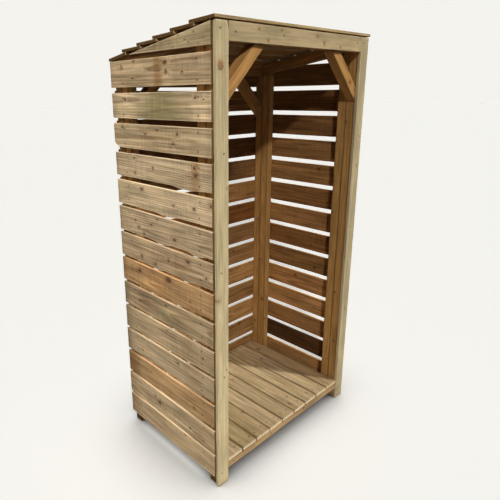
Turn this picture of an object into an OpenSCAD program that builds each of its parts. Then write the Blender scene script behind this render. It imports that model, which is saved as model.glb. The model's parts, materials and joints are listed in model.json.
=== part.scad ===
// Log store: a tall open fronted rack of sawn softwood. Two slatted side panels, a slatted back,
// a boarded floor and a lapped board roof that falls to the back. Nothing on it moves.
// Units are millimetres. +Z is up, the open front faces -Y, +X is to the right seen from the front.
// The origin is on the ground at the middle of the plan.

/* [Overall] */
// Width over the outer faces of the side slats, mm
width = 940; // [740:10:1400]
// Depth from the front face of the cover boards to the back ends of the side slats, mm
depth = 620; // [480:10:900]
// Height of the front cover boards above the ground, mm
front_height = 1802; // [1400:2:2200]
// Fall of the roof towards the back, degrees
roof_slope = 8.6; // [7.5:0.1:12]

/* [Framing] */
// Side of the square timber used for posts, studs and rails, mm
frame_size = 44; // [34:1:60]
// Height of the sloped rafters, mm
rafter_height = 50; // [40:1:70]
// Distance from a post to where the outer edge of a brace meets the rail above, mm
brace_leg = 208; // [150:1:260]

/* [Front cover boards] */
// Width of the upright cover boards, mm
cover_width = 58; // [50:1:80]
// Thickness of the cover boards, header and sill, mm
cover_thickness = 15; // [10:1:22]
// Height of the header board, mm
header_height = 62; // [50:1:100]
// Height of the sill board below the floor ends, mm
sill_height = 32; // [20:1:44]

/* [Wall slats] */
// Height of one wall slat, mm
slat_width = 100; // [70:1:140]
// Thickness of a wall slat, mm
slat_thickness = 11; // [8:1:18]
// Smallest open gap between wall slats, mm
slat_gap = 20; // [10:1:40]
// Height of the lowest wall slat above the ground, mm
slat_base = 45; // [20:1:60]
// How far the side slats stand proud of the cover boards, mm
slat_proud = 5; // [0:1:8]

/* [Floor] */
// Height of the floor top above the ground, mm
floor_height = 108; // [90:1:160]
// Thickness of a floor board, mm
floor_thickness = 16; // [12:1:22]
// Number of floor boards
floor_count = 9; // [7:1:12]
// Open gap between floor boards, mm
floor_gap = 6; // [3:1:12]

/* [Roof] */
// Width of one roof board, mm
roof_board_width = 125; // [115:1:150]
// Thickness of a roof board, mm
roof_board_thickness = 11; // [8:1:16]
// How far the roof stands out past the walls at every edge, mm
roof_overhang = 3; // [0:1:20]

/* [Hidden] */
// outer and inner planes across the width
slat_out = width / 2;
slat_in = slat_out - slat_thickness;
cover_out = slat_out - slat_proud;
cover_in = cover_out - cover_width;
frame_out = slat_in;
frame_in = frame_out - frame_size;
// planes from front to back
front_y = -depth / 2;
back_y = depth / 2;
post_y = front_y + cover_thickness;
stud_y = post_y + frame_size;
// the back slats stop short of the side slat ends so the ends cover them
end_cover = 5;
back_slat_out = back_y - end_cover;
back_post_end = back_slat_out - slat_thickness;
back_post_y = back_post_end - frame_size;
back_stud_y = back_post_y - frame_size;
// the side slats start a little behind the cover boards
slat_setback = 5;
slat_start = post_y + slat_setback;
// top of the rafters, which carries the roof boards: a height for each distance from front to back
roof_clearance = 3;
front_roof_line = front_height + roof_clearance;
function roof_line(y) = front_roof_line - (y - front_y) * tan(roof_slope);
// wall slat rows that fit under the low end of the roof
slat_clearance = 3;
slat_top = roof_line(back_y) - slat_clearance;
slat_rows = floor((slat_top - slat_base + slat_gap) / (slat_width + slat_gap));
slat_pitch = (slat_top - slat_base - slat_width) / (slat_rows - 1);
function slat_z(i) = slat_base + i * slat_pitch;
// the studs stop level with the lowest slat, so that only the posts and cover boards reach the ground
stud_base = slat_base;
// the tapered board above the side slats, clear of the roof boards and blunt at its thin end
taper_z = slat_top + slat_gap;
taper_clearance = 2;
taper_end = 2;
taper_tip_y = front_y + (front_roof_line - taper_z - taper_clearance - taper_end) / tan(roof_slope);
// rails
floor_under = floor_height - floor_thickness;
header_z = front_height - header_height;
back_rail_drop = 8;
back_rail_z = roof_line(back_post_y) - rafter_height - back_rail_drop;
sill_setback = 3;
// floor boards between the cover boards
floor_side_clearance = 2;
floor_span = 2 * (cover_in - floor_side_clearance);
floor_board = (floor_span - (floor_count - 1) * floor_gap) / floor_count;
floor_pitch = floor_board + floor_gap;
floor_front_setback = 2;
floor_back_clearance = 4;
floor_front = front_y + floor_front_setback;
floor_back = back_post_end - floor_back_clearance;
// roof boards, cut a little short at each end
roof_rows = 6;
roof_end_cut = 1;
roof_length = width + 2 * (roof_overhang - roof_end_cut);
roof_start = front_y - roof_overhang;
roof_run = (depth + 2 * roof_overhang) / cos(roof_slope);
roof_step = (roof_run - roof_board_width) / (roof_rows - 1);
// lift of each lapped board above the rafter slope, degrees
lap_tilt = asin(roof_board_thickness / roof_step);
last_tilt = atan(roof_board_thickness / roof_step);

// a box given by its low and high corners
module box(low, high) {
    translate(low)
        cube(high - low);
}

// an upright from the given height to the underside of a rafter, its top cut to the roof slope
module upright(side, y, base) {
    x0 = side > 0 ? frame_in : -frame_out;
    translate([x0, 0, 0])
        rotate([90, 0, 90])
            linear_extrude(height = frame_size)
                polygon([
                    [y, base],
                    [y + frame_size, base],
                    [y + frame_size, roof_line(y + frame_size) - rafter_height],
                    [y, roof_line(y) - rafter_height],
                ]);
}

// a rafter lying on the uprights of one side
module rafter(side) {
    x0 = side > 0 ? frame_in : -frame_out;
    translate([x0, 0, 0])
        rotate([90, 0, 90])
            linear_extrude(height = frame_size)
                polygon([
                    [post_y, roof_line(post_y) - rafter_height],
                    [back_post_end, roof_line(back_post_end) - rafter_height],
                    [back_post_end, roof_line(back_post_end)],
                    [post_y, roof_line(post_y)],
                ]);
}

// a rail between the rafters, its top cut to the roof slope
module top_rail(y, z) {
    translate([-frame_in, 0, 0])
        rotate([90, 0, 90])
            linear_extrude(height = 2 * frame_in)
                polygon([
                    [y, z],
                    [y + frame_size, z],
                    [y + frame_size, roof_line(y + frame_size)],
                    [y, roof_line(y)],
                ]);
}

// a corner brace cut at 45 degrees at both ends, as deep as a post
module brace(side, y, top) {
    inner_leg = brace_leg - frame_size * sqrt(2);
    translate([0, y + frame_size, 0])
        rotate([90, 0, 0])
            linear_extrude(height = frame_size)
                polygon([
                    [side * frame_in, top - brace_leg],
                    [side * (frame_in - brace_leg), top],
                    [side * (frame_in - inner_leg), top],
                    [side * frame_in, top - inner_leg],
                ]);
}

// one row of side slats, none of them touching another
module side_slats(side) {
    x0 = side > 0 ? slat_in : -slat_out;
    for (i = [0 : slat_rows - 1])
        translate([x0, slat_start, slat_z(i)])
            cube([slat_thickness, back_y - slat_start, slat_width]);
}

// the long wedge of board that closes the side wall under the roof
module top_slat(side) {
    x0 = side > 0 ? slat_in : -slat_out;
    translate([x0, 0, 0])
        rotate([90, 0, 90])
            linear_extrude(height = slat_thickness)
                polygon([
                    [slat_start, taper_z],
                    [taper_tip_y, taper_z],
                    [taper_tip_y, taper_z + taper_end],
                    [slat_start, roof_line(slat_start) - taper_clearance],
                ]);
}

// one roof board, front edge on the rafter, back edge lifted by the board below it
module roof_board(i) {
    tilt = i == roof_rows - 1 ? 0 : (i == roof_rows - 2 ? last_tilt : lap_tilt);
    y = roof_start + i * roof_step * cos(roof_slope);
    translate([-roof_length / 2, y, roof_line(y)])
        rotate([tilt - roof_slope, 0, 0])
            cube([roof_length, roof_board_width, roof_board_thickness]);
}

module left_cover_board() {
    color("BurlyWood")
        box([-cover_out, front_y, 0], [-cover_in, post_y, front_height]);
}

module right_cover_board() {
    color("BurlyWood")
        box([cover_in, front_y, 0], [cover_out, post_y, front_height]);
}

module front_header() {
    color("BurlyWood")
        box([-cover_in, front_y, header_z], [cover_in, post_y, front_height]);
}

module front_sill() {
    color("BurlyWood")
        box([-cover_in, front_y + sill_setback, floor_under - sill_height], [cover_in, post_y, floor_under]);
}

module front_left_post() {
    color("Peru")
        upright(-1, post_y, 0);
}

module front_right_post() {
    color("Peru")
        upright(1, post_y, 0);
}

module back_left_post() {
    color("Peru")
        upright(-1, back_post_y, 0);
}

module back_right_post() {
    color("Peru")
        upright(1, back_post_y, 0);
}

module left_front_stud() {
    color("Tan")
        upright(-1, stud_y, stud_base);
}

module left_back_stud() {
    color("Tan")
        upright(-1, back_stud_y, stud_base);
}

module right_front_stud() {
    color("Tan")
        upright(1, stud_y, stud_base);
}

module right_back_stud() {
    color("Tan")
        upright(1, back_stud_y, stud_base);
}

module left_rafter() {
    color("Peru")
        rafter(-1);
}

module right_rafter() {
    color("Peru")
        rafter(1);
}

module front_top_rail() {
    color("Peru")
        top_rail(post_y, header_z);
}

module back_top_rail() {
    color("Peru")
        top_rail(back_post_y, back_rail_z);
}

module floor_front_bearer() {
    color("Peru")
        box([-frame_in, post_y, floor_under - frame_size], [frame_in, stud_y, floor_under]);
}

module floor_back_bearer() {
    color("Peru")
        box([-frame_in, back_post_y, floor_under - frame_size], [frame_in, back_post_end, floor_under]);
}

module front_left_brace() {
    color("Tan")
        brace(-1, post_y, header_z);
}

module front_right_brace() {
    color("Tan")
        brace(1, post_y, header_z);
}

module back_left_brace() {
    color("Tan")
        brace(-1, back_post_y, back_rail_z);
}

module back_right_brace() {
    color("Tan")
        brace(1, back_post_y, back_rail_z);
}

module left_slats() {
    color("Wheat")
        side_slats(-1);
}

module right_slats() {
    color("Wheat")
        side_slats(1);
}

module back_slats() {
    color("Wheat")
        for (i = [0 : slat_rows - 1])
            translate([-slat_in, back_post_end, slat_z(i)])
                cube([2 * slat_in, slat_thickness, slat_width]);
}

module left_top_slat() {
    color("Wheat")
        top_slat(-1);
}

module right_top_slat() {
    color("Wheat")
        top_slat(1);
}

module floor_boards() {
    color("Wheat")
        for (i = [0 : floor_count - 1])
            translate([-floor_span / 2 + i * floor_pitch, floor_front, floor_under])
                cube([floor_board, floor_back - floor_front, floor_thickness]);
}

module roof_board_1() {
    color("BurlyWood")
        roof_board(0);
}

module roof_board_2() {
    color("BurlyWood")
        roof_board(1);
}

module roof_board_3() {
    color("BurlyWood")
        roof_board(2);
}

module roof_board_4() {
    color("BurlyWood")
        roof_board(3);
}

module roof_board_5() {
    color("BurlyWood")
        roof_board(4);
}

module roof_board_6() {
    color("BurlyWood")
        roof_board(5);
}

left_cover_board();
right_cover_board();
front_header();
front_sill();
front_left_post();
front_right_post();
back_left_post();
back_right_post();
left_front_stud();
left_back_stud();
right_front_stud();
right_back_stud();
left_rafter();
right_rafter();
front_top_rail();
back_top_rail();
floor_front_bearer();
floor_back_bearer();
front_left_brace();
front_right_brace();
back_left_brace();
back_right_brace();
left_slats();
right_slats();
back_slats();
left_top_slat();
right_top_slat();
floor_boards();
roof_board_1();
roof_board_2();
roof_board_3();
roof_board_4();
roof_board_5();
roof_board_6();
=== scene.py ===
import json
import math
import random

import bpy
from mathutils import Matrix, Vector, noise

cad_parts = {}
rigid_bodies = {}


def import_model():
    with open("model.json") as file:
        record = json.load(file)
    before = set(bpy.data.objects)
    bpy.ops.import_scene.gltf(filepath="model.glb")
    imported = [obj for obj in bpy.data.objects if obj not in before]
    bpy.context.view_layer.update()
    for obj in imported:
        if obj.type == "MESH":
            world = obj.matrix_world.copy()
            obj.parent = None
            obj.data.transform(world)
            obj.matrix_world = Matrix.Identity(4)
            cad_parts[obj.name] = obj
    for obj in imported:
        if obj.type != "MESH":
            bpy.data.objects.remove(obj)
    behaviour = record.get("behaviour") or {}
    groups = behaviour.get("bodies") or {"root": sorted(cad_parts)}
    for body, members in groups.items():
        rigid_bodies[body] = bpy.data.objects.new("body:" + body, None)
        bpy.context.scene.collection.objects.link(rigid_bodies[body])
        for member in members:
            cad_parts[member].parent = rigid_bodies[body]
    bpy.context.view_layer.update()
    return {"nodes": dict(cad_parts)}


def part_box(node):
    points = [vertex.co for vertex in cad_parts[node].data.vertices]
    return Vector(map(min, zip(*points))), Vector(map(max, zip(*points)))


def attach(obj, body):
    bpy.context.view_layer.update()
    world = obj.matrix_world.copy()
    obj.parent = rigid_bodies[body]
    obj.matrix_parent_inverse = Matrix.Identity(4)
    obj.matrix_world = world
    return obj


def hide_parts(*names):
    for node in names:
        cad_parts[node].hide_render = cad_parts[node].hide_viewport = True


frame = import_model()

X, Y, Z = Vector((1, 0, 0)), Vector((0, 1, 0)), Vector((0, 0, 1))
MM = 0.001
SEED = 11

# sawn board shape: lengths in metres, and shares of a board's width or thickness
STATION_STEP = 11 * MM
ARRIS = 1.3 * MM
END_ARRIS = 0.9 * MM
SUPPORT = 1.4 * MM
EDGE_WANDER = 0.6 * MM
FACE_WANDER = EDGE_WANDER * 0.3
END_TRIM = 1.2 * MM
CUP = 0.35 * MM
FACE_STEP = 16 * MM
MOST_ARRIS = 0.42
MOST_TRIM = 0.2
SQUARE_FROM = 0.6
CUPPED_FROM = 1.6
INNER_FROM = 0.35
ARC = [(1 - math.sin(a), 1 - math.cos(a)) for a in (0, math.pi / 6, math.pi / 3, math.pi / 2)]
# stands for a knot or nail that is nowhere near
FAR = 9.0

# relief of the materials
GRAIN_RELIEF = 0.5 * MM
NAIL_RELIEF = 0.2 * MM

# nails: the head in metres, places across a board as shares of its width, the jitter in mm, and the places
# down a cover board in mm from its top, with one more above its foot
NAIL_RADIUS = 1.9 * MM
NAIL_RISE = 0.25 * MM
NAIL_SIDES = 12
NAIL_SINK = 0.35 * MM
NAIL_DOME = ((1.0, -0.8 * MM), (1.0, -0.1 * MM), (0.75, NAIL_RISE * 0.7), (0.35, NAIL_RISE))
NAIL_JITTER = 4
WALL_NAILS = (-0.32, 0.30)
BACK_NAILS = (-0.3, 0.3)
FLOOR_NAILS = (-0.28, 0.28)
ROOF_NAILS = (-0.12, 0.3)
COVER_NAILS = (25, 420, 850, 1290)
COVER_FOOT_NAIL = 60
FRONT_NAILS = 4


def linear(red, green, blue):
    """A colour given in ordinary 0 to 255 values, as the shader wants it."""
    def channel(value):
        value /= 255
        return value / 12.92 if value <= 0.04045 else ((value + 0.055) / 1.055) ** 2.4
    return (channel(red), channel(green), channel(blue), 1.0)


# ---------------------------------------------------------------- timber finishes
# early and late are the light and dark bands of the grain, both as sawn and treated
# the arris colour is what a rubbed arris looks like, and also a painted highlight on the narrow faces of the
# left slats; its share says how much of it shows; cut colours are for the sawn ends
WOODS = {
    "cover_wood": dict(
        early=linear(205, 190, 152), late=linear(182, 158, 113), knot=linear(150, 104, 60),
        green=linear(170, 168, 116), green_share=0.18, ring=5.0 * MM, saw=0.1, contrast=0.45, streak=0.6,
        wear_and_highlight=linear(214, 200, 166), wear_and_highlight_share=0.3,
        cut_early=linear(206, 186, 146), cut_late=linear(160, 130, 88),
    ),
    "slat_wood": dict(
        early=linear(208, 185, 150), late=linear(140, 108, 70), knot=linear(94, 60, 34),
        green=linear(152, 142, 92), green_share=0.14, ring=7.5 * MM, saw=0.7, contrast=0.8, streak=1.3,
        wear_and_highlight=linear(238, 216, 178), wear_and_highlight_share=0.85,
        cut_early=linear(150, 120, 80), cut_late=linear(112, 84, 50),
    ),
    "frame_wood": dict(
        early=linear(200, 154, 92), late=linear(150, 104, 52), knot=linear(96, 56, 30),
        green=linear(150, 132, 80), green_share=0.1, ring=6.0 * MM, saw=0.3, contrast=0.6, streak=0.9,
        wear_and_highlight=linear(92, 62, 34), wear_and_highlight_share=0.6,
        cut_early=linear(180, 146, 98), cut_late=linear(132, 98, 58),
    ),
    "floor_wood": dict(
        early=linear(220, 199, 160), late=linear(166, 136, 94), knot=linear(104, 66, 36),
        green=linear(166, 154, 100), green_share=0.25, ring=7.0 * MM, saw=0.35, contrast=0.65, streak=1.0,
        wear_and_highlight=linear(84, 60, 34), wear_and_highlight_share=0.7,
        cut_early=linear(240, 222, 186), cut_late=linear(206, 176, 130),
    ),
    "roof_wood": dict(
        early=linear(194, 172, 130), late=linear(142, 112, 70), knot=linear(104, 66, 36),
        green=linear(150, 142, 92), green_share=0.3, ring=7.0 * MM, saw=0.45, contrast=0.7, streak=1.0,
        wear_and_highlight=linear(206, 184, 142), wear_and_highlight_share=0.4,
        cut_early=linear(104, 76, 40), cut_late=linear(66, 46, 22),
    ),
}
CUT_CRACK = linear(58, 38, 20)
STAIN = linear(58, 40, 26)
# painted shade for the faces that look into the store: darker and warmer, as in the shade inside
INNER_PAINTED_SHADE = (0.65, 0.465, 0.29, 1.0)
WARM_TINT = (1.0, 0.62, 0.30, 1.0)
NAIL_COLOUR = linear(92, 80, 68)
NAIL_RUST = linear(88, 52, 28)


class Graph:
    """Short calls for building a material's nodes."""

    def __init__(self, tree):
        self.tree = tree
        tree.nodes.clear()

    def node(self, kind, **settings):
        made = self.tree.nodes.new(kind)
        for key, value in settings.items():
            setattr(made, key, value)
        return made

    def put(self, socket, value):
        if isinstance(value, bpy.types.NodeSocket):
            self.tree.links.new(value, socket)
        else:
            socket.default_value = value

    def attribute(self, name):
        return self.node("ShaderNodeAttribute", attribute_name=name).outputs["Vector"]

    def split(self, vector):
        made = self.node("ShaderNodeSeparateXYZ")
        self.put(made.inputs[0], vector)
        return made.outputs[0], made.outputs[1], made.outputs[2]

    def join(self, x, y, z):
        made = self.node("ShaderNodeCombineXYZ")
        for socket, value in zip(made.inputs, (x, y, z)):
            self.put(socket, value)
        return made.outputs[0]

    def math(self, operation, *values, clamp=False):
        made = self.node("ShaderNodeMath", operation=operation, use_clamp=clamp)
        for socket, value in zip(made.inputs, values):
            self.put(socket, value)
        return made.outputs[0]

    def add(self, a, b, clamp=False):
        return self.math("ADD", a, b, clamp=clamp)

    def minus(self, a, b):
        return self.math("SUBTRACT", a, b)

    def times(self, a, b, clamp=False):
        return self.math("MULTIPLY", a, b, clamp=clamp)

    def hypot(self, a, b):
        squares = self.add(self.math("POWER", a, 2.0), self.math("POWER", b, 2.0))
        return self.math("SQRT", squares)

    def vector(self, operation, a, b):
        made = self.node("ShaderNodeVectorMath", operation=operation)
        self.put(made.inputs[0], a)
        self.put(made.inputs[1], b)
        return made.outputs["Value" if operation == "LENGTH" else "Vector"]

    def noise(self, vector, stretch, detail=2.0, rough=0.5):
        made = self.node("ShaderNodeTexNoise", noise_dimensions="3D")
        self.put(made.inputs["Vector"], self.vector("MULTIPLY", vector, stretch))
        made.inputs["Scale"].default_value = 1.0
        made.inputs["Detail"].default_value = detail
        made.inputs["Roughness"].default_value = rough
        return made.outputs[0]

    def step(self, value, low, high, out_low=0.0, out_high=1.0):
        """A smooth change from out_low to out_high while the value goes from low to high."""
        made = self.node("ShaderNodeMapRange", interpolation_type="SMOOTHSTEP")
        for socket, number in zip(made.inputs[:5], (value, low, high, out_low, out_high)):
            self.put(socket, number)
        return made.outputs[0]

    def mix(self, share, a, b, blend="MIX"):
        """Colour a, with this share of colour b."""
        made = self.node("ShaderNodeMix", data_type="RGBA", blend_type=blend, clamp_factor=True)
        self.put(made.inputs["Factor"], share)
        self.put(made.inputs[6], a)
        self.put(made.inputs[7], b)
        return made.outputs[2]

    def scale(self, colour, value):
        made = self.node("ShaderNodeVectorMath", operation="SCALE")
        self.put(made.inputs[0], colour)
        self.put(made.inputs["Scale"], value)
        return made.outputs["Vector"]

    def finish(self, colour, roughness, height, bump, specular):
        """The surface, with relief from the height."""
        shader = self.node("ShaderNodeBsdfPrincipled")
        relief = self.node("ShaderNodeBump")
        relief.inputs["Strength"].default_value = 1.0
        relief.inputs["Distance"].default_value = bump
        self.put(relief.inputs["Height"], height)
        self.put(shader.inputs["Base Color"], colour)
        self.put(shader.inputs["Roughness"], roughness)
        self.put(shader.inputs["Normal"], relief.outputs[0])
        shader.inputs["Specular IOR Level"].default_value = specular
        out = self.node("ShaderNodeOutputMaterial")
        self.put(out.inputs["Surface"], shader.outputs[0])


def new_material(name):
    """An empty material, and the graph that fills it."""
    material = bpy.data.materials.new(name)
    material.use_nodes = True
    return material, Graph(material.node_tree)


def growth_rings(g, spread, ring):
    """Sawtooth of the yearly rings, 0 after a dark band and 1 on it. spread moves the lines round knots."""
    _, y, z = g.split(g.attribute("log"))
    place = g.attribute("fibre")
    wander = g.times(g.minus(g.noise(place, (4.0, 16.0, 16.0)), 0.5), 15 * MM)
    radius = g.hypot(g.add(y, wander), z)
    radius = g.add(radius, spread)
    turns = g.math("DIVIDE", radius, ring)
    saw = g.math("FRACT", turns)
    rise = g.math("POWER", saw, 1.8)
    fall = g.step(saw, 0.9, 1.0, 1.0, 0.0)
    return g.times(rise, fall)


def side_material(name, wood):
    """Long grain: rings, fibres, saw marks, knots, nail stains, rubbed arrises, weathered ends, and painted
    light and shade: a painted highlight on the left slats' narrow faces, painted light and shade in the wall
    rows' tones, and painted shade on the faces that look into the store.
    """
    material, g = new_material(name)
    fibre = g.attribute("fibre")
    light, warm, green = g.split(g.attribute("tone"))
    wear_and_highlight, from_end, inner = g.split(g.attribute("rim"))

    # knots: distance in knot radii, with a ragged outline
    da, db, size = g.split(g.attribute("knot"))
    reach = g.hypot(g.times(da, 0.75), db)
    ragged = g.times(g.minus(g.noise(fibre, (75.0, 120.0, 120.0), 2.0), 0.5), 1.3)
    knots = g.add(g.math("DIVIDE", reach, size), ragged)
    core = g.step(knots, 0.45, 1.05, 1.0, 0.0)
    rim = g.times(g.step(knots, 0.5, 0.85), g.step(knots, 0.85, 1.2, 1.0, 0.0))
    rim = g.times(rim, g.step(g.math("DIVIDE", da, size), -0.8, 0.5, 1.0, 0.25))
    halo = g.step(knots, 0.8, 3.2, 1.0, 0.0)
    spread = g.times(g.times(halo, size), 1.6)

    rings = growth_rings(g, spread, wood["ring"])
    coarse = g.noise(fibre, (6.0, 130.0, 130.0), 3.0, 0.65)
    bands = g.noise(fibre, (2.5, 52.0, 52.0), 2.0, 0.6)
    fine = g.noise(fibre, (28.0, 900.0, 900.0), 2.0, 0.6)
    blotch = g.noise(fibre, (6.0, 22.0, 22.0), 2.0, 0.55)
    broad = g.noise(fibre, (2.2, 7.0, 7.0), 1.0)
    saw = g.noise(fibre, (420.0, 9.0, 9.0), 1.0)
    saw_wide = g.noise(fibre, (130.0, 9.0, 9.0), 2.0)
    saw_place = g.step(g.noise(fibre, (5.0, 12.0, 12.0), 1.0), 0.45, 0.62, 0.15, 1.0)

    colour = g.mix(g.times(rings, wood["contrast"]), wood["early"], wood["late"])
    tint = g.times(g.step(broad, 0.38, 0.68), wood["green_share"])
    tint = g.add(tint, green, clamp=True)
    colour = g.mix(tint, colour, wood["green"])
    shade = g.add(g.step(coarse, 0.3, 0.7, -0.17, 0.15), g.step(bands, 0.3, 0.7, -0.16, 0.14))
    shade = g.times(shade, wood["streak"])
    shade = g.add(shade, g.step(blotch, 0.3, 0.7, -0.12, 0.12))
    shade = g.add(shade, g.step(fine, 0.3, 0.7, -0.06, 0.06))
    sawn = g.times(g.step(saw_wide, 0.35, 0.65, -0.14, 0.10), g.times(saw_place, wood["saw"]))
    shade = g.add(g.add(shade, sawn), 1.0)
    colour = g.scale(colour, shade)

    # knots, with a brown flush round them
    colour = g.mix(g.times(halo, 0.22), colour, wood["knot"])
    rays = g.step(g.noise(fibre, (200.0, 260.0, 260.0)), 0.3, 0.7, 0.7, 1.35)
    colour = g.mix(g.times(core, 0.8), colour, g.scale(wood["knot"][:3], rays))
    colour = g.mix(g.times(rim, 0.6), colour, STAIN)

    # short drying cracks along the grain
    crack = g.noise(fibre, (5.0, 170.0, 170.0), 1.0)
    crack = g.step(crack, 0.76, 0.80)
    colour = g.mix(g.times(crack, 0.7), colour, STAIN)

    # nail holes and the stain round them
    nail = g.vector("LENGTH", g.attribute("nail"), (0.0, 0.0, 0.0))
    stain = g.step(nail, 2.2 * MM, 6.0 * MM, 0.6, 0.0)
    colour = g.mix(stain, colour, STAIN)

    # rubbed arrises with a painted highlight on the left slats' narrow faces, weathered ends, each board's
    # own tone, which for the right and back walls carries painted light and shade, and painted shade on the
    # faces that look into the store
    colour = g.mix(g.times(wear_and_highlight, wood["wear_and_highlight_share"]), colour, wood["wear_and_highlight"])
    ends = g.times(g.step(from_end, 0.0, 35 * MM, 1.0, 0.0), g.step(blotch, 0.35, 0.6))
    colour = g.mix(g.times(ends, 0.25), colour, wood["knot"])
    colour = g.mix(g.times(warm, 1.0, clamp=True), colour, WARM_TINT, "MULTIPLY")
    # painted shade: the faces that look into the store are darker and warmer
    colour = g.mix(inner, colour, INNER_PAINTED_SHADE, "MULTIPLY")
    colour = g.scale(colour, light)

    rough = g.add(g.step(rings, 0.0, 1.0, 0.78, 0.62), g.times(g.minus(coarse, 0.5), 0.2))
    height = g.add(g.times(rings, 0.35), g.times(coarse, 0.6))
    height = g.add(height, g.times(fine, 0.35))
    height = g.add(height, g.times(saw, wood["saw"]))
    height = g.add(height, g.times(core, 0.5))
    height = g.minus(height, g.times(crack, 1.2))
    g.finish(colour, rough, height, GRAIN_RELIEF, 0.25)
    return material


def cut_material(name, wood):
    """Cross-cut end: the rings as arcs, fine pores and drying cracks that run out from the pith."""
    material, g = new_material(name)
    fibre = g.attribute("fibre")
    light, _, _ = g.split(g.attribute("tone"))
    _, y, z = g.split(g.attribute("log"))
    rings = growth_rings(g, 0.0, wood["ring"])
    pores = g.noise(fibre, (900.0, 900.0, 900.0), 2.0, 0.6)
    dirt = g.noise(fibre, (60.0, 60.0, 60.0), 3.0, 0.6)
    turn = g.math("ARCTAN2", z, y)
    rays = g.noise(g.join(turn, 0.0, 0.0), (26.0, 1.0, 1.0), 1.0)
    crack = g.step(rays, 0.72, 0.78)
    colour = g.mix(g.times(rings, 0.6), wood["cut_early"], wood["cut_late"])
    colour = g.scale(colour, g.step(pores, 0.3, 0.7, 0.86, 1.08))
    colour = g.mix(g.step(dirt, 0.45, 0.75, 0.0, 0.35), colour, wood["late"])
    colour = g.mix(g.times(crack, 0.8), colour, CUT_CRACK)
    colour = g.scale(colour, light)
    height = g.add(g.times(pores, 0.6), g.times(rings, 0.5))
    height = g.minus(height, g.times(crack, 1.5))
    g.finish(colour, g.step(pores, 0.2, 0.8, 0.92, 0.78), height, GRAIN_RELIEF, 0.15)
    return material


def nail_material():
    """Dull steel with rust and small dents."""
    material, g = new_material("nail_steel")
    place = g.node("ShaderNodeTexCoord").outputs["Object"]
    rust = g.noise(place, (700.0, 700.0, 700.0), 3.0, 0.6)
    colour = g.mix(g.step(rust, 0.4, 0.62), NAIL_COLOUR, NAIL_RUST)
    g.finish(colour, g.step(rust, 0.3, 0.7, 0.42, 0.8), rust, NAIL_RELIEF, 0.5)
    shader = next(n for n in material.node_tree.nodes if n.type == "BSDF_PRINCIPLED")
    shader.inputs["Metallic"].default_value = 0.6
    return material


# ---------------------------------------------------------------- board geometry
def solids(node):
    """The corner points of each separate solid of a CAD node, in order along X, Y and Z."""
    mesh = frame["nodes"][node].data
    ids, points = [], {}
    for vertex in mesh.vertices:
        key = tuple(round(c, 5) for c in vertex.co)
        ids.append(points.setdefault(key, len(points)))
    owner = list(range(len(points)))

    def root(i):
        while owner[i] != i:
            i = owner[i]
        return i

    for polygon in mesh.polygons:
        first = root(ids[polygon.vertices[0]])
        for v in polygon.vertices:
            owner[root(ids[v])] = first
    groups = {}
    for key, i in points.items():
        groups.setdefault(root(i), []).append(Vector(key))
    return sorted(groups.values(), key=lambda g: tuple(round(sum(axis), 3) for axis in zip(*g)))


def end_corners(points, along, across):
    """The four corners of one end, in order round the board, with the first edge running across it."""
    centre = sum(points, Vector()) / len(points)
    thick = along.cross(across)
    turned = sorted(points, key=lambda p: math.atan2((p - centre).dot(thick), (p - centre).dot(across)))
    start = max(range(4), key=lambda i: (turned[(i + 1) % 4] - turned[i]).dot(across))
    return [turned[(start + i) % 4] for i in range(4)]


def section(width, depth, radii, counts, highlight_mark):
    """Points round a board's section, from its lowest corner, each with 1 on an arris, the painted highlight
    mark on the narrow faces, and 0 on the broad faces.
    """
    corners = []
    for k, (rx, ry) in enumerate(radii):
        arc = reversed(ARC) if k in (0, 2) else ARC
        corner = []
        for ox, oy in arc:
            x = width - ox * rx if k in (1, 2) else ox * rx
            y = depth - oy * ry if k in (2, 3) else oy * ry
            corner.append((x, y))
        corners.append(corner)
    points = []
    for k, corner in enumerate(corners):
        points += [(x, y, 1.0) for x, y in corner]
        (x0, y0), (x1, y1) = corner[-1], corners[(k + 1) % 4][0]
        length = math.hypot(x1 - x0, y1 - y0)
        near = min(SUPPORT / max(length, 1e-6), 0.3)
        steps = [near] + [(i + 1) / (counts[k % 2] + 1) for i in range(counts[k % 2])] + [1 - near]
        mark = highlight_mark if k % 2 else 0.0
        points += [(x0 + (x1 - x0) * f, y0 + (y1 - y0) * f, mark) for f in steps]
    return points


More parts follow.
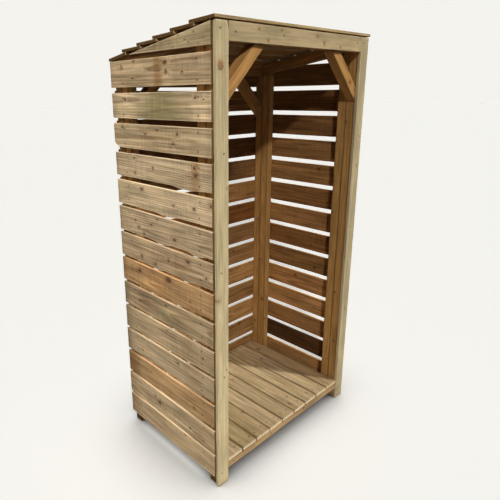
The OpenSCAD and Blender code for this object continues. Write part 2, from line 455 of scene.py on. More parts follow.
class Board:
    """One sawn board inside a CAD solid: slightly uneven faces, worn arrises and its own piece of a log."""

    def __init__(self, corners, along, across, rng, style):
        ordered = sorted(corners, key=lambda p: p.dot(along))
        self.low = end_corners(ordered[:4], along, across)
        self.high = end_corners(ordered[4:], along, across)
        self.rng = rng
        self.style = style
        self.a = (self.high[0] - self.low[0]).normalized()
        side = self.low[1] - self.low[0]
        self.b = (side - self.a * side.dot(self.a)).normalized()
        self.c = self.a.cross(self.b)
        self.origin = sum(self.low, Vector()) / 4
        self.length = max((h - l).length for l, h in zip(self.low, self.high))
        self.width = max((q[1] - q[0]).length for q in (self.low, self.high))
        self.depth = max((q[2] - q[1]).length for q in (self.low, self.high))
        self.shift = Vector([rng.uniform(-40, 40) for _ in range(3)])
        self.drift = [rng.uniform(0, style.get("drift", 0.5)) * MM for _ in range(4)]
        for k, shift in style.get("edges", {}).items():
            self.drift[k] = shift * MM
        self.trims = [rng.uniform(0, END_TRIM), rng.uniform(0, END_TRIM)]
        self.pith = self.choose_pith()
        self.tone = self.choose_tone()
        self.knots = self.choose_knots()
        self.nails = []

    def choose_pith(self):
        """Where the centre of the log was, and how far it leans against the board."""
        rng = self.rng
        turn = rng.choice((0, math.pi)) + rng.uniform(-0.5, 0.5)
        off = rng.uniform(18, 60) * MM
        return dict(
            turn=turn, off=off, side=rng.uniform(-0.3, 0.3) * self.width,
            lean_side=rng.uniform(-0.02, 0.02), lean=rng.uniform(-0.035, 0.035),
        )

    def choose_tone(self):
        """Lightness, warmth and green of this board."""
        rng = self.rng
        base = self.style.get("tone", (1.0, 0.0, 0.0))
        vary = self.style.get("vary", 0.07)
        return (
            base[0] * (1 + rng.uniform(-vary, vary)),
            max(0.0, base[1] + rng.uniform(0, 0.08)),
            max(0.0, base[2] + rng.uniform(-0.04, 0.08)),
        )

    def tone_at(self, t):
        """The tone at share t of the length, with the patches and bands that this board has."""
        tone = self.tone
        for middle, half, change in self.style.get("patches", ()):
            share = max(0.0, 1 - ((t - middle) / half) ** 2)
            tone = tuple(value + extra * share for value, extra in zip(tone, change))
        return tone

    def choose_knots(self):
        """Knots on the broad faces and, on square timber, on the other two: (along, across, radius)."""
        known = self.style.get("knots")
        if known is None:
            flat = self.random_knots(self.width)
        else:
            flat = [(a * self.length, (b - 0.5) * self.width, radius * MM) for a, b, radius in known]
        edge = self.random_knots(self.depth) if self.square() else []
        return flat, edge

    def random_knots(self, breadth):
        """Knots anywhere on a face of this breadth."""
        made = []
        for _ in range(self.knot_count()):
            along = self.rng.uniform(0, self.length)
            across = self.rng.uniform(-0.5, 0.5) * breadth
            made.append((along, across, self.knot_size()))
        return made

    def knot_count(self):
        mean = self.length * self.style.get("knot_rate", 2.5)
        return int(mean + self.rng.uniform(0, 1))

    def knot_size(self):
        low, high, usual = self.style.get("knot_sizes", (1.8, 7.5, 3.0))
        return self.rng.triangular(low, high, usual) * MM

    def square(self):
        return self.depth > SQUARE_FROM * self.width

    def wander(self, key, a, amount):
        """Smooth uneven amount along the board, never below nothing."""
        value = noise.noise(Vector((a * 5.0 + self.shift.x, key * 7.7 + self.shift.y, 0.0)))
        return max(0.0, 0.5 + 0.9 * value) * amount

    def radii(self, t, a, width, depth):
        """Worn arris size at each corner, and the bark edge where the board has one."""
        made = []
        for k in range(4):
            r = self.style.get("arris", ARRIS) * (0.6 + self.wander(20 + k, a * 3, 0.9))
            rx, ry = r, r
            for corner, start, stop, wide, deep in self.style.get("wane", ()):
                if corner == k:
                    middle, half = (start + stop) / 2, (stop - start) / 2
                    share = max(0.0, 1 - abs(t - middle) / half) ** 0.5
                    uneven = 0.75 + 0.5 * noise.noise(Vector((a * 30, k * 3.0, self.shift.z)))
                    rx = max(rx, wide * MM * share * uneven)
                    ry = max(ry, deep * MM * share * uneven)
            made.append((min(rx, width * MOST_ARRIS), min(ry, depth * MOST_ARRIS)))
        return made

    def clipped(self, side, t, a):
        """How far the bark edge or a rounded corner cuts into one side of the board."""
        cut = 0.0
        for edge, full, none, deep in self.style.get("clip", ()):
            if edge == side:
                share = min(1.0, max(0.0, (t - none) / (full - none)))
                uneven = 0.8 + 0.4 * noise.noise(Vector((a * 40, side * 3.0, self.shift.z)))
                cut = max(cut, deep * MM * share ** 1.6 * uneven)
        return cut

    def bulged(self, side, t):
        """How far one side of the board swells out, where the log was wider."""
        swell = 0.0
        for edge, middle, half, high in self.style.get("bulge", ()):
            if edge == side:
                swell = max(swell, high * MM * max(0.0, 1 - ((t - middle) / half) ** 2))
        return swell

    def stations(self):
        """Shares of the length where the board's rings of points stand."""
        count = max(6, round(self.length / STATION_STEP))
        edge = END_ARRIS / self.length
        inner = [edge + (1 - 2 * edge) * i / count for i in range(count + 1)]
        return [0.0] + inner + [1.0]

    def ring(self, t, inset):
        """One ring of points round the board at share t of its length, with their arris marks."""
        first, second = self.trims[0] / self.length, self.trims[1] / self.length
        share = first + t * (1 - first - second)
        quad = [self.low[k].lerp(self.high[k], share) for k in range(4)]
        width, depth = (quad[1] - quad[0]).length, (quad[2] - quad[1]).length
        a = t * self.length
        trim = [inset + self.wander(k, a, EDGE_WANDER if k < 2 else FACE_WANDER) for k in range(4)]
        for k in range(2):
            line = self.drift[k] * (1 - t) + self.drift[k + 2] * t
            trim[k] += line + self.clipped(k, t, a) - self.bulged(k, t)
        trim = [min(v, MOST_TRIM * (width if k < 2 else depth)) for k, v in enumerate(trim)]
        counts = self.counts()
        points, marks = [], []
        # the narrow faces may carry a painted highlight, as the style gives it
        highlight_mark = self.style.get("painted_highlight_edges", 0.0)
        for x, y, mark in section(width, depth, self.radii(t, a, width, depth), counts, highlight_mark):
            u = (trim[0] + x * (width - trim[0] - trim[1]) / width) / width
            hollow = CUP * 4 * u * (1 - u) * (1 if self.width > CUPPED_FROM * self.depth else 0)
            y_low, y_high = trim[2] + hollow, trim[3] + hollow
            v = (y_low + y * (depth - y_low - y_high) / depth) / depth
            front = quad[0].lerp(quad[1], u)
            back = quad[3].lerp(quad[2], u)
            points.append(front.lerp(back, v))
            marks.append(mark)
        return points, marks

    def counts(self):
        """How many points stand between the arrises on the broad and on the narrow faces."""
        return max(1, round(self.width / FACE_STEP)), max(1, round(self.depth / FACE_STEP))

    def inner_shade_share(self, local):
        """1 on the face that looks into the store, which gets painted shade, and 0 elsewhere."""
        inside = self.style.get("inside", 0)
        return float(inside != 0 and local.z * inside > INNER_FROM * self.depth)

    def local(self, point):
        """A point in this board's own along, across and thickness directions, metres from its start."""
        d = point - self.origin
        return Vector((d.dot(self.a), d.dot(self.b), d.dot(self.c)))


class Piece:
    """Boards gathered into one mesh, with the attributes that the materials read."""

    def __init__(self):
        self.points, self.faces, self.slots = [], [], []
        self.attributes = {"log": [], "fibre": [], "tone": [], "rim": []}
        self.corner_attributes = {"knot": [], "nail": []}

    def add(self, board):
        """Take in one board, with a cut face at each end."""
        start = len(self.points)
        locals_ = []
        rings = board.stations()
        for i, t in enumerate(rings):
            inset = END_ARRIS if i in (0, len(rings) - 1) else 0.0
            points, marks = board.ring(t, inset)
            tone = board.tone_at(t)
            for point, mark in zip(points, marks):
                local = board.local(point)
                locals_.append(local)
                self.points.append(point)
                self.attributes["log"].append(self.log_place(board, local))
                self.attributes["fibre"].append(local + board.shift)
                self.attributes["tone"].append(tone)
                near_end = min(t, 1 - t) * board.length
                self.attributes["rim"].append((mark, near_end, board.inner_shade_share(local)))
        size = len(points)
        last = (len(rings) - 1) * size
        self.add_face(board, locals_, start, list(range(size))[::-1], 1)
        self.add_face(board, locals_, start, list(range(last, last + size)), 1)
        for k in range(len(rings) - 1):
            for j in range(size):
                n = (j + 1) % size
                face = [k * size + j, k * size + n, (k + 1) * size + n, (k + 1) * size + j]
                self.add_face(board, locals_, start, face, 0)

    def log_place(self, board, local):
        """A point's place in its log: along it, then across it from the pith."""
        p = board.pith
        y = local.y + p["side"] + p["lean_side"] * local.x
        z = local.z + p["lean"] * local.x
        cos, sin = math.cos(p["turn"]), math.sin(p["turn"])
        return (local.x, y * cos - z * sin, y * sin + z * cos + p["off"])

    def add_face(self, board, locals_, start, face, slot):
        """One face, whose corners know the nearest knot and nail."""
        self.faces.append([start + i for i in face])
        self.slots.append(slot)
        corners = [locals_[i] for i in face]
        centre = sum(corners, Vector()) / len(corners)
        flat, edge = board.knots
        on_edge = board.square() and abs(centre.y) > 0.5 * board.width - 2 * MM
        found, across = (edge, 2) if on_edge else (flat, 1)
        knot = min(found, key=lambda k: (k[0] - centre.x) ** 2 + (k[1] - centre[across]) ** 2, default=None)
        nail = min(board.nails, key=lambda n: (n - centre).length_squared, default=None)
        for corner in corners:
            if knot is None or slot:
                self.corner_attributes["knot"].append((FAR, FAR, MM))
            else:
                offset = (corner.x - knot[0], corner[across] - knot[1])
                self.corner_attributes["knot"].append((*offset, knot[2]))
            self.corner_attributes["nail"].append(corner - nail if nail else (FAR, FAR, FAR))

    def build(self, name, materials):
        """The mesh object: long grain in its first material, cut ends in its second."""
        mesh = bpy.data.meshes.new(name)
        mesh.from_pydata(self.points, [], self.faces)
        mesh.polygons.foreach_set("material_index", self.slots)
        mesh.polygons.foreach_set("use_smooth", [slot == 0 for slot in self.slots])
        for domain, group in (("POINT", self.attributes), ("CORNER", self.corner_attributes)):
            for key, values in group.items():
                layer = mesh.attributes.new(key, "FLOAT_VECTOR", domain)
                layer.data.foreach_set("vector", [c for value in values for c in value])
        for material in materials:
            mesh.materials.append(material)
        mesh.validate()
        mesh.update()
        piece = bpy.data.objects.new(name, mesh)
        bpy.context.scene.collection.objects.link(piece)
        return piece


# ---------------------------------------------------------------- where the boards are
def diagonal(side):
    """The direction of a brace that rises away from this side."""
    return (Z - X * side).normalized()


# tones are lightness, warmth and green, from the lowest board up or from the left across
SLAT_TONES = [
    (0.92, 0.08, 0.0), (1.00, 0.05, 0.1), (0.90, 0.42, 0.2), (0.86, 0.02, 0.0), (0.86, 0.08, 0.0),
    (0.82, 0.10, 0.1), (0.90, 0.48, 0.1), (0.90, 0.05, 0.0), (0.99, 0.00, 0.0), (1.30, -0.40, 0.0),
    (1.06, -0.05, 0.0), (1.10, 0.00, 0.0), (1.10, 0.00, 0.1), (1.06, 0.05, 0.1),
]
# knots are places along and across the board, as shares, and a radius in mm
SLAT_KNOTS = [
    [(0.31, 0.95, 4), (0.60, 0.30, 3)],
    [(0.61, 0.45, 10), (0.66, 0.65, 5), (0.25, 0.30, 4)],
    [(0.20, 0.30, 5), (0.70, 0.60, 3)],
    [(0.37, 0.77, 6), (0.80, 0.30, 4)],
    [(0.48, 0.85, 4), (0.10, 0.50, 5)],
    [(0.48, 0.81, 5), (0.80, 0.40, 4)],
    [(0.78, 0.70, 9), (0.44, 0.85, 14), (0.22, 0.30, 3)],
    [(0.43, 0.49, 6), (0.23, 0.74, 8), (0.74, 0.25, 7), (0.06, 0.33, 5), (0.58, 0.10, 6)],
    [(0.61, 0.58, 5), (0.76, 0.32, 5), (0.54, 0.89, 5), (0.70, 0.08, 6), (0.36, 0.24, 7), (0.80, 0.57, 5)],
    [(0.70, 0.81, 8), (0.36, 0.44, 5), (0.16, 0.49, 7), (0.01, 0.73, 5)],
    [(0.77, 0.84, 5), (0.77, 0.24, 5), (0.56, 0.56, 5), (0.14, 0.52, 7), (0.15, 0.78, 6)],
    [(0.50, 0.82, 5), (0.63, 0.65, 4), (0.89, 0.84, 5), (0.30, 0.71, 6), (0.34, 0.36, 5)],
    [(0.13, 0.78, 5), (0.84, 0.74, 5), (0.06, 0.73, 4)],
    [(0.72, 0.95, 6), (0.86, 0.74, 4), (0.74, 0.34, 4), (0.40, 0.81, 9), (0.39, 0.50, 7), (0.24, 0.46, 4)],
]
# bark edges: the arris, from and to shares of the length, then the width and depth of the bark in mm
SLAT_WANE = {
    0: [(0, 0.80, 1.20, 16, 8), (0, -0.12, 0.12, 8, 6)],
    11: [(0, 0.92, 1.08, 20, 6)],
}
# rounded corners: the edge, the shares where the cut is full and where it ends, and how deep it is in mm
SLAT_CLIP = {
    11: [(0, 1.0, 0.93, 20)],
}
# how far an edge stands back from its line, mm: 0 low and 1 high at the front end, 2 and 3 at the back end
SLAT_EDGES = {
    0: {0: -3.0, 2: -4.0, 1: -1.5, 3: -4.0},
    1: {0: -2.5, 2: -5.5, 3: -3.0},
    2: {0: -2.5, 2: -4.0, 3: -3.0},
    3: {0: -2.5, 2: -4.0, 1: -0.5, 3: -3.0},
    4: {0: -3.0, 2: -4.0, 3: -3.0},
    5: {0: -3.0, 2: -4.0, 1: -0.5, 3: -3.0},
    6: {0: -2.5, 2: -4.0, 3: -3.5},
    7: {0: -2.5, 2: -4.0, 3: -4.0},
    8: {0: -3.0, 2: -4.5, 1: -1.0, 3: -4.0},
    9: {0: -2.5, 2: -3.0, 1: -1.0, 3: -2.5},
    13: {1: -1.0, 3: -1.5},
}
# where a slat's lower side swells out: side, place along the board, half length, and height in mm
SLAT_BULGE = {
    3: [(0, 0.49, 0.08, 3.0), (0, 0.24, 0.06, 3.0)],
    4: [(0, 0.69, 0.09, 4.5), (0, 0.45, 0.07, 3.5), (0, 0.24, 0.06, 3.0)],
    5: [(0, 0.66, 0.10, 5.5), (0, 0.40, 0.07, 5.0), (0, 0.18, 0.06, 4.0)],
    6: [(0, 0.62, 0.10, 6.0), (0, 0.34, 0.08, 6.0)],
    7: [(0, 0.57, 0.10, 6.5), (0, 0.25, 0.08, 7.5)],
    8: [(0, 0.50, 0.11, 8.5), (0, 0.14, 0.08, 8.0)],
    9: [(0, 0.43, 0.11, 7.0)],
    10: [(0, 0.22, 0.15, 7.0)],
}
# where a board is lighter, redder or greener: share of the length, half width, change of tone
SLAT_PATCHES = {
    0: [(0.98, 0.12, (-0.28, 0.15, 0.0)), (0.35, 0.20, (0.08, 0.0, 0.0))],
    1: [(0.97, 0.10, (-0.25, 0.10, 0.0)), (0.55, 0.12, (0.10, 0.0, 0.0)), (0.12, 0.12, (-0.10, 0.1, 0.0))],
    2: [(0.97, 0.14, (-0.34, 0.20, 0.0)), (0.45, 0.18, (0.12, 0.0, 0.0))],
    3: [(0.70, 0.20, (0.14, 0.0, 0.0)), (0.99, 0.06, (-0.25, 0.0, 0.0)), (0.20, 0.10, (-0.10, 0.1, 0.0))],
    4: [(0.60, 0.16, (0.14, 0.0, 0.0)), (0.98, 0.08, (-0.25, 0.1, 0.0)), (0.25, 0.10, (-0.12, 0.1, 0.0))],
    5: [(0.45, 0.12, (0.12, 0.0, 0.2)), (0.98, 0.06, (-0.2, 0.0, 0.0)), (0.75, 0.10, (-0.12, 0.1, 0.0))],
    6: [(0.60, 0.20, (0.08, 0.1, 0.0)), (0.99, 0.06, (-0.2, 0.0, 0.0))],
    7: [(0.30, 0.12, (-0.10, 0.1, 0.0)), (0.65, 0.14, (0.08, 0.0, 0.0))],
    10: [(0.14, 0.05, (-0.20, 0.45, 0.0)), (0.60, 0.25, (0.05, 0.0, 0.0))],
    11: [(0.50, 0.20, (-0.10, 0.10, 0.0))],
    12: [
        (0.07, 0.12, (0.30, -0.1, -0.1)), (0.82, 0.14, (0.32, -0.1, -0.1)),
        (0.45, 0.22, (-0.14, 0.05, 0.4)),
    ],
    13: [(0.47, 0.05, (-0.30, 0.45, 0.0)), (0.36, 0.06, (0.16, 0.0, 0.0)), (0.75, 0.12, (0.06, 0.0, 0.1))],
}
# the right and back wall tones carry painted light and shade as well as each board's own tone: rows are
# lighter where light falls, and darker and warmer where shade falls, as under the header
RIGHT_TONES_AND_PAINTED_LIGHT = [
    (1.30, 0.10, 0.0), (0.23, 0.50, 0.0), (0.95, 0.10, 0.1), (1.30, 0.00, 0.0), (1.28, 0.10, 0.0),
    (0.84, 0.15, 0.1), (0.76, 0.45, 0.0), (1.10, 0.15, 0.0), (0.74, 0.25, 0.0), (1.12, 0.10, 0.0),
    (0.98, 0.15, 0.0), (0.66, 0.30, 0.0), (0.55, 0.50, 0.0), (0.60, 0.20, 0.0),
]
BACK_TONES_AND_PAINTED_LIGHT = [
    (1.10, 0.15, 0.1), (1.05, 0.00, 0.1), (1.50, -0.50, 0.1), (1.05, -0.40, 0.0), (1.35, -0.45, 0.1),
    (1.08, -0.10, 0.0), (0.92, 0.05, 0.0), (0.68, 0.75, 0.0), (1.18, 0.15, 0.0), (0.76, 0.15, 0.0),
    (0.42, 0.60, 0.0), (0.52, 0.60, 0.0), (0.66, 0.40, 0.0), (0.60, 0.20, 0.0),
]
# as SLAT_EDGES: at a back slat's left end the lower edge stands back and the upper one stands out
BACK_EDGES = {row: {0: 5.0, 1: -9.0, 2: -0.5, 3: -0.5} for row in range(13)}
FLOOR_TONES = [
    (1.00, 0.00, 0.0), (0.96, 0.05, 0.3), (1.00, 0.05, 0.2), (1.04, 0.00, 0.0), (0.98, 0.00, 0.1),
    (1.06, 0.00, 0.0), (1.02, 0.00, 0.0), (1.04, 0.05, 0.0), (0.94, 0.20, 0.0),
]
FLOOR_EDGES = {board: {corner: 0.9 for corner in range(4)} for board in (0, 1, 5, 6, 7)}
FLOOR_EDGES.update({
    2: {1: -1.0, 3: -2.0},
    3: {0: -1.0, 2: -1.0, 1: 1.0, 3: 1.5},
    4: {0: 1.5, 2: 1.0},
})

# node: grain direction, direction across the board, material slot, and what is special about it
TIMBERS = {
    "left_cover_board": (Z, X, "cover_wood", dict(
        knots=[(0.925, 0.35, 13), (0.47, 0.10, 6), (0.70, 0.85, 3), (0.30, 0.80, 3)],
        wane=[(1, 0.988, 1.012, 24, 15)],
    )),
    "right_cover_board": (Z, X, "cover_wood", dict(knot_rate=2.0)),
    "front_header": (X, Z, "cover_wood", dict(
        knots=[
            (0.18, 0.75, 4), (0.33, 0.80, 4), (0.24, 0.20, 5),
            (0.60, 0.72, 5), (0.66, 0.30, 5), (0.80, 0.20, 4),
        ],
        tone=(0.97, 0.14, 0.0),
    )),
    "front_sill": (X, Z, "floor_wood", dict(tone=(0.78, 0.45, 0.0))),
    # the top rails' darker, warmer tone is painted shade under the roof
    "front_top_rail": (X, Z, "frame_wood", dict(tone=(0.75, 0.2, 0.0))),
    "back_top_rail": (X, Z, "frame_wood", dict(tone=(0.75, 0.2, 0.0))),
    "floor_front_bearer": (X, Z, "frame_wood", {}),
    "floor_back_bearer": (X, Z, "frame_wood", {}),
    "front_left_brace": (diagonal(-1), Y, "frame_wood", dict(tone=(1.0, 0.1, 0.0))),
    "front_right_brace": (diagonal(1), Y, "frame_wood", dict(tone=(1.0, 0.1, 0.0))),
    "back_left_brace": (diagonal(-1), Y, "frame_wood", dict(tone=(0.85, 0.1, 0.0))),
    "back_right_brace": (diagonal(1), Y, "frame_wood", dict(tone=(0.85, 0.1, 0.0))),
    # the rafters' darker, warmer tones are painted shade under the roof
    "left_rafter": (Y, Z, "frame_wood", dict(tone=(0.45, 0.2, 0.0))),
    "right_rafter": (Y, Z, "frame_wood", dict(tone=(0.7, 0.2, 0.0))),
    # the left slats' narrow faces get a painted highlight in the pale arris colour
    "left_slats": (Y, Z, "slat_wood", dict(
        tone=SLAT_TONES, knots=SLAT_KNOTS, wane=SLAT_WANE, clip=SLAT_CLIP, edges=SLAT_EDGES,
        bulge=SLAT_BULGE, patches=SLAT_PATCHES, vary=0.02, drift=0.2, inside=1, painted_highlight_edges=1.0,
    )),
    "right_slats": (Y, Z, "slat_wood", dict(tone=RIGHT_TONES_AND_PAINTED_LIGHT, vary=0.04, drift=0.2, inside=-1)),
    "back_slats": (X, Z, "slat_wood", dict(tone=BACK_TONES_AND_PAINTED_LIGHT, vary=0.04, edges=BACK_EDGES, inside=1)),
    "left_top_slat": (Y, Z, "slat_wood", dict(
        tone=(0.92, 0.0, 0.25), knot_rate=60.0, knot_sizes=(0.8, 3.0, 1.4),
    )),
    "right_top_slat": (Y, Z, "slat_wood", {}),
    "floor_boards": (Y, X, "floor_wood", dict(tone=FLOOR_TONES, edges=FLOOR_EDGES, vary=0.02, drift=0.8)),
}
for upright in (
    "front_left_post", "front_right_post", "back_left_post", "back_right_post",
    "left_front_stud", "left_back_stud", "right_front_stud", "right_back_stud",
):
    TIMBERS[upright] = (Z, X, "frame_wood", dict(knot_rate=1.5, arris=2.6 * MM))
for number in range(1, 7):
    TIMBERS[f"roof_board_{number}"] = (X, Y, "roof_wood", dict(vary=0.08, inside=-1))


def style_of(style, index):
    """The style of one board of a node: the lists and dicts in it hold one entry for each board."""
    own = dict(style)
    if isinstance(own.get("tone"), list):
        own["tone"] = own["tone"][index]
        if "knots" in own:
            own["knots"] = own["knots"][index]
        for key in ("wane", "clip", "bulge", "patches", "edges"):
            own[key] = own.get(key, {}).get(index, {})
    return own


def boards_of(node):
    """The boards of a CAD node, each with random draws of its own."""
    along, across, _, style = TIMBERS[node]
    made = []
    for index, corners in enumerate(solids(node)):
        rng = random.Random(f"{SEED} {node} {index}")
        made.append(Board(corners, along, across, rng, style_of(style, index)))
    return made


# ---------------------------------------------------------------- nails
def middle(node, axis):
    """The middle of a CAD node along one axis."""
    low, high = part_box(node)
    return (low[axis] + high[axis]) / 2


def jitter(board):
    """Two small shifts: nails are never quite in line."""
    return [board.rng.uniform(-NAIL_JITTER, NAIL_JITTER) * MM for _ in range(2)]


def wall_nails(node, side, boards):
    """Two nails through each side slat into each of the two studs."""
    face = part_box(node)[0].x if side < 0 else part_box(node)[1].x
    prefix = "left" if side < 0 else "right"
    lines = [middle(f"{prefix}_front_stud", 1) + 6 * MM, middle(f"{prefix}_back_stud", 1)]
    for board in boards:
        z = board.origin.z
        for y in lines:
            for dz in WALL_NAILS:
                along, up = jitter(board)
                yield board, Vector((face, y + along, z + dz * board.width + up)), X * side


def back_nails(node, boards):
    """Two nails through each back slat into each back post."""
    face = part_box(node)[1].y
    lines = [middle("back_left_post", 0), middle("back_right_post", 0)]
    for board in boards:
        for x in lines:
            for dz in BACK_NAILS:
                along, up = jitter(board)
                yield board, Vector((x + along, face, board.origin.z + dz * board.width + up)), Y


def floor_nails(boards):
    """Two nails through each floor board into each bearer."""
    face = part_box("floor_boards")[1].z
    lines = [middle("floor_front_bearer", 1), middle("floor_back_bearer", 1)]
    for board in boards:
        for y in lines:
            for dx in FLOOR_NAILS:
                over, along = jitter(board)
                yield board, Vector((board.origin.x + dx * board.width + over, y + along, face)), Z


def roof_nails(boards):
    """Two nails near each end of a roof board into the rafters."""
    board = boards[0]
    up = board.c
    top = sum(board.low[2:] + board.high[2:], Vector()) / 4
    for x in (middle("left_rafter", 0), middle("right_rafter", 0)):
        for share in ROOF_NAILS:
            spot = top + board.b * share * board.width
            shift = board.rng.uniform(-NAIL_JITTER, NAIL_JITTER) * MM
            yield board, Vector((x + shift, spot.y, spot.z)), up


def front_nails(node, boards):
    """Nails through the boards of the front into the timber behind them."""
    board = boards[0]
    low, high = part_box(node)
    face = low.y
    if node.endswith("cover_board"):
        heights = [high.z - drop * MM for drop in COVER_NAILS] + [low.z + COVER_FOOT_NAIL * MM]
        for i, z in enumerate(heights):
            x = (low.x + high.x) / 2 + (6 * MM if i % 2 else -9 * MM)
            yield board, Vector((x, face, z)), -Y
    else:
        z = (low.z + high.z) / 2
        for i in range(FRONT_NAILS):
            x = low.x + (high.x - low.x) * (0.04 + 0.92 * i / (FRONT_NAILS - 1))
            yield board, Vector((x, face, z + board.rng.uniform(-9, 9) * MM)), -Y


def nails_for(node, boards):
    """The nails of one node: board, place and the way the head faces."""
    if node == "left_slats":
        return list(wall_nails(node, -1, boards))
    if node == "right_slats":
        return list(wall_nails(node, 1, boards))
    if node == "back_slats":
        return list(back_nails(node, boards))
    if node == "floor_boards":
        return list(floor_nails(boards))
    if node.startswith("roof_board"):
        return list(roof_nails(boards))
    if node in ("left_cover_board", "right_cover_board", "front_header", "front_sill"):
        return list(front_nails(node, boards))
    return []


def nail_mesh(name, nails, material):
    """Low domed heads, set just into the wood."""
    points, faces = [], []
    for _, place, normal in nails:
        side = normal.orthogonal().normalized()
        other = normal.cross(side)
        start = len(points)
        for share, lift in NAIL_DOME:
            for i in range(NAIL_SIDES):
                turn = 2 * math.pi * i / NAIL_SIDES
                spoke = side * math.cos(turn) + other * math.sin(turn)
                points.append(place + spoke * NAIL_RADIUS * share + normal * (lift - NAIL_SINK))
        for level in range(len(NAIL_DOME) - 1):
            for i in range(NAIL_SIDES):
                n = (i + 1) % NAIL_SIDES
                low, high = start + level * NAIL_SIDES, start + (level + 1) * NAIL_SIDES
                faces.append([low + i, low + n, high + n, high + i])
        top = start + (len(NAIL_DOME) - 1) * NAIL_SIDES
        faces.append([top + i for i in range(NAIL_SIDES)])
        faces.append([start + i for i in range(NAIL_SIDES)][::-1])
    mesh = bpy.data.meshes.new(name)
    mesh.from_pydata(points, [], faces)
    mesh.materials.append(material)
    mesh.update()
    piece = bpy.data.objects.new(name, mesh)
    bpy.context.scene.collection.objects.link(piece)
    return piece


# ---------------------------------------------------------------- the object
def build_store():
    """Every CAD node as worked timber, and the nail heads on it."""
    sides = {slot: side_material(slot, wood) for slot, wood in WOODS.items()}
    cuts = {slot: cut_material(f"{slot}_cut", wood) for slot, wood in WOODS.items()}
    steel = nail_material()
    for node, (_, _, slot, _) in TIMBERS.items():
        boards = boards_of(node)
        nails = nails_for(node, boards)
        for board, place, _ in nails:
            board.nails.append(board.local(place))
        piece = Piece()
        for board in boards:
            piece.add(board)
        made = piece.build(f"{node}_wood", [sides[slot], cuts[slot]])
        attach(made, "root")
        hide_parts(node)
        if nails:
            heads = nail_mesh(f"{node}_nails", nails, steel)
            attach(heads, "root")


# ---------------------------------------------------------------- stage, light and camera
# OPEN: how open to the sky the floor is where a shade of it ends and starts
PAPER = (0.904, 0.896, 0.855, 1.0)
# the next two colours are painted shade on the floor's glow, near the object and under it
CONTACT_SHADE = (0.13, 0.125, 0.12, 1.0)
UNDERSIDE_SHADE = (0.02, 0.014, 0.008, 1.0)
FLOOR_BOUNCE = 0.55
FLOOR_LIT = 0.25
SKY_STRENGTH = 0.045
SHADOW_REACH = 0.46
UNDERSIDE_OPEN = (0.12, 0.3)
SHADOW_OPEN = (0.15, 1.0)
WARM = (1.0, 0.97, 0.92)
WHITE = (1, 1, 1)
BOUNCE_POWER = 2.6
BOUNCE_SIZE = (1.6, 0.8)
BOUNCE_PLACE = Vector((-0.5, -1.2, 0.12))
BOUNCE_AIM = Vector((0.15, 0, 0.45))
FLOOR_LAMP_HEIGHT = 14
FLOOR_SIZE = 120.0
FLOOR_DROP = 0.2 * MM


def build_floor():
    """A pale glowing floor with a soft contact shadow painted into its glow from ambient occlusion, and the
    floor lamp's shadow behind the object.

    The camera sees paper; other rays see a plainer floor, so that the object gets little light from it.
    """
    bpy.ops.mesh.primitive_plane_add(size=FLOOR_SIZE, location=(0, 0, -FLOOR_DROP))
    floor = bpy.context.object
    floor.name = "studio_floor"
    material, g = new_material("studio_floor")
    near = g.node("ShaderNodeAmbientOcclusion", samples=16)
    near.inputs["Distance"].default_value = SHADOW_REACH
    # painted shade: ambient occlusion darkens the floor's glow near and under the object
    shade = g.mix(g.step(near.outputs["AO"], *UNDERSIDE_OPEN), UNDERSIDE_SHADE, CONTACT_SHADE)
    paper = g.mix(g.step(near.outputs["AO"], *SHADOW_OPEN), shade, PAPER)
    own = g.node("ShaderNodeEmission")
    g.put(own.inputs["Color"], paper)
    own.inputs["Strength"].default_value = 1.0 - FLOOR_LIT - SKY_STRENGTH
    lit = g.node("ShaderNodeBsdfDiffuse")
    g.put(lit.inputs["Color"], paper)
    shown = g.node("ShaderNodeAddShader")
    g.put(shown.inputs[0], own.outputs[0])
    g.put(shown.inputs[1], lit.outputs[0])
    bounce = g.node("ShaderNodeBsdfDiffuse")
    bounce.inputs["Color"].default_value = (FLOOR_BOUNCE, FLOOR_BOUNCE, FLOOR_BOUNCE, 1.0)
    seen = g.node("ShaderNodeLightPath")
    both = g.node("ShaderNodeMixShader")
    g.put(both.inputs[0], seen.outputs["Is Camera Ray"])
    g.put(both.inputs[1], bounce.outputs[0])
    g.put(both.inputs[2], shown.outputs[0])
    out = g.node("ShaderNodeOutputMaterial")
    g.put(out.inputs["Surface"], both.outputs[0])
    floor.data.materials.append(material)
    return floor


def build_sky():
    """Pale paper all round for the camera, and weak even light for the object."""
    world = bpy.data.worlds.new("studio")
    world.use_nodes = True
    bpy.context.scene.world = world
    g = Graph(world.node_tree)
    light = g.node("ShaderNodeBackground")
    light.inputs["Color"].default_value = (1.0, 1.0, 1.0, 1.0)
    light.inputs["Strength"].default_value = SKY_STRENGTH
    paper = g.node("ShaderNodeBackground")
    paper.inputs["Color"].default_value = PAPER
    seen = g.node("ShaderNodeLightPath")
    both = g.node("ShaderNodeMixShader")
    g.put(both.inputs[0], seen.outputs["Is Camera Ray"])
    g.put(both.inputs[1], light.outputs[0])
    g.put(both.inputs[2], paper.outputs[0])
    out = g.node("ShaderNodeOutputWorld")
    g.put(out.inputs["Surface"], both.outputs[0])


def build_key(name, azimuth, elevation, strength, softness, colour=WARM, lit=None, unlit=()):
    """A far lamp, for the objects in lit or for all but unlit. Azimuth is degrees right of the front."""
    lamp = bpy.data.lights.new(name, "SUN")
    lamp.energy = strength
    lamp.color = colour
    lamp.angle = math.radians(softness)
    holder = bpy.data.objects.new(name, lamp)
    turn, tip = math.radians(azimuth), math.radians(elevation)
    towards = Vector((math.sin(turn) * math.cos(tip), -math.cos(turn) * math.cos(tip), math.sin(tip)))
    holder.rotation_euler = towards.to_track_quat("Z", "Y").to_euler()
    bpy.context.scene.collection.objects.link(holder)
    link(holder, name, lit, unlit)


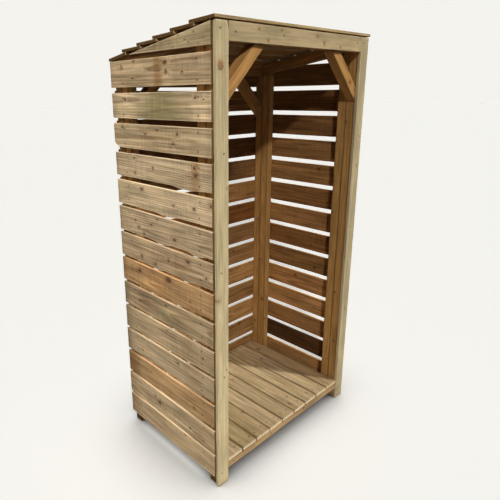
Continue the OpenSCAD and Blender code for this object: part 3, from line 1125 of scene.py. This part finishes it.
def link(holder, name, lit, unlit):
    """Give a lamp's light only to the objects in lit, or to all but those in unlit."""
    if not lit and not unlit:
        return
    receivers = bpy.data.collections.new(f"{name}_receivers")
    for item in lit or unlit:
        receivers.objects.link(item)
    for linked in receivers.collection_objects:
        linked.light_linking.link_state = "INCLUDE" if lit else "EXCLUDE"
    holder.light_linking.receiver_collection = receivers


def build_bounce(floor):
    """Warm light that comes back up from the ground in front, strongest low down."""
    lamp = bpy.data.lights.new("front_bounce", "AREA")
    lamp.shape = "RECTANGLE"
    lamp.size, lamp.size_y = BOUNCE_SIZE
    lamp.energy = BOUNCE_POWER
    lamp.color = WARM
    holder = bpy.data.objects.new("front_bounce", lamp)
    holder.location = BOUNCE_PLACE
    holder.rotation_euler = (BOUNCE_PLACE - BOUNCE_AIM).to_track_quat("Z", "Y").to_euler()
    holder.visible_camera = False
    bpy.context.scene.collection.objects.link(holder)
    link(holder, "front_bounce", None, [floor])


def named(*starts):
    """The objects whose names start with one of these."""
    return [o for o in bpy.context.scene.objects if o.name.startswith(starts)]


# the camera, in metres and degrees in the shared frame
CAMERA_PLACE = Vector((-1.558, -1.439, 1.578))
CAMERA_YAW = 41.88
CAMERA_PITCH = 16.39
CAMERA_ROLL = -1.0
SENSOR = 36.0
LENS = 33.63
SHIFT = (0.10, -0.037)


def build_camera():
    """The camera on the front left, level but for a slight roll."""
    data = bpy.data.cameras.new("camera")
    data.sensor_width = SENSOR
    data.lens = LENS
    data.shift_x, data.shift_y = SHIFT
    data.clip_end = 500.0
    camera = bpy.data.objects.new("camera", data)
    turn = Matrix.Rotation(math.radians(-CAMERA_YAW), 4, "Z")
    tip = Matrix.Rotation(math.radians(90 - CAMERA_PITCH), 4, "X")
    roll = Matrix.Rotation(math.radians(CAMERA_ROLL), 4, "Z")
    camera.matrix_world = Matrix.Translation(CAMERA_PLACE) @ turn @ tip @ roll
    bpy.context.scene.collection.objects.link(camera)
    bpy.context.scene.camera = camera


def build_lights(floor):
    """Two sun lamps from the front, and weaker fills for the side, the back and the floor."""
    left = named("roof", "left_slats", "left_top", "left_cover")
    back = named("roof", "back_slats", "right_slats", "right_top")
    hidden = named("left_front_stud", "left_back_stud", "front_left_post", "back_left_post")
    build_key("key_left", azimuth=-41, elevation=32, strength=1.25, softness=3.0, unlit=hidden + [floor])
    build_key("key_right", azimuth=30, elevation=42, strength=1.8, softness=3.0, unlit=[floor])
    build_key("fill_left", azimuth=-76, elevation=48, strength=1.85, softness=30.0, lit=left)
    build_key("fill_back", azimuth=150, elevation=30, strength=1.2, softness=8.0, lit=back)
    strength = FLOOR_LIT * math.pi / math.sin(math.radians(FLOOR_LAMP_HEIGHT))
    build_key(
        "floor_lamp", azimuth=-45, elevation=FLOOR_LAMP_HEIGHT, strength=strength, softness=6.0,
        colour=WHITE, lit=[floor],
    )
    build_bounce(floor)


build_store()
stage_floor = build_floor()
build_sky()
build_lights(stage_floor)
build_camera()
# lamps that light only some objects come out the same in every run without the light tree
bpy.context.scene.cycles.use_light_tree = False
bpy.context.scene.view_settings.view_transform = "Standard"
